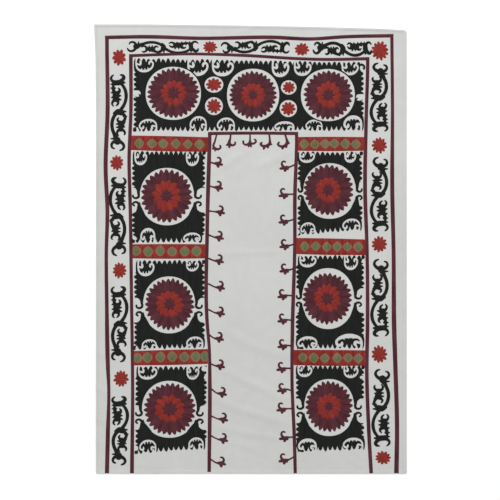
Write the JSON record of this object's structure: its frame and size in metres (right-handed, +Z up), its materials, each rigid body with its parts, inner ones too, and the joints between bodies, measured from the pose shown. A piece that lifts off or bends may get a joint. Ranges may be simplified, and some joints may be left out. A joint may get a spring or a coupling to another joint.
{
  "type": "suzani embroidered textile",
  "caption": "Flat embroidered cotton sheet with an inverted-U border of rosettes and scrolls round a plain centre, laid face up with soft folds.",
  "frame": {"origin": "on the surface that the cloth lies on, under the middle of its bounding box", "axes": "+X across the cloth, +Y along it towards its closed end where the border turns its corners, +Z up out of its embroidered face"},
  "size_m": [1.4376, 2.0671, 0.006],
  "materials": {
    "cotton_ground": "plain-woven off-white cotton, matt",
    "black_thread": "laid silk thread, soft sheen",
    "maroon_thread": "laid silk thread, soft sheen",
    "red_thread": "laid silk thread, soft sheen",
    "green_thread": "laid silk thread, soft sheen"
  },
  "bodies": {
    "root": {"ground_cloth": "cotton_ground"}
  },
  "joints": []
}
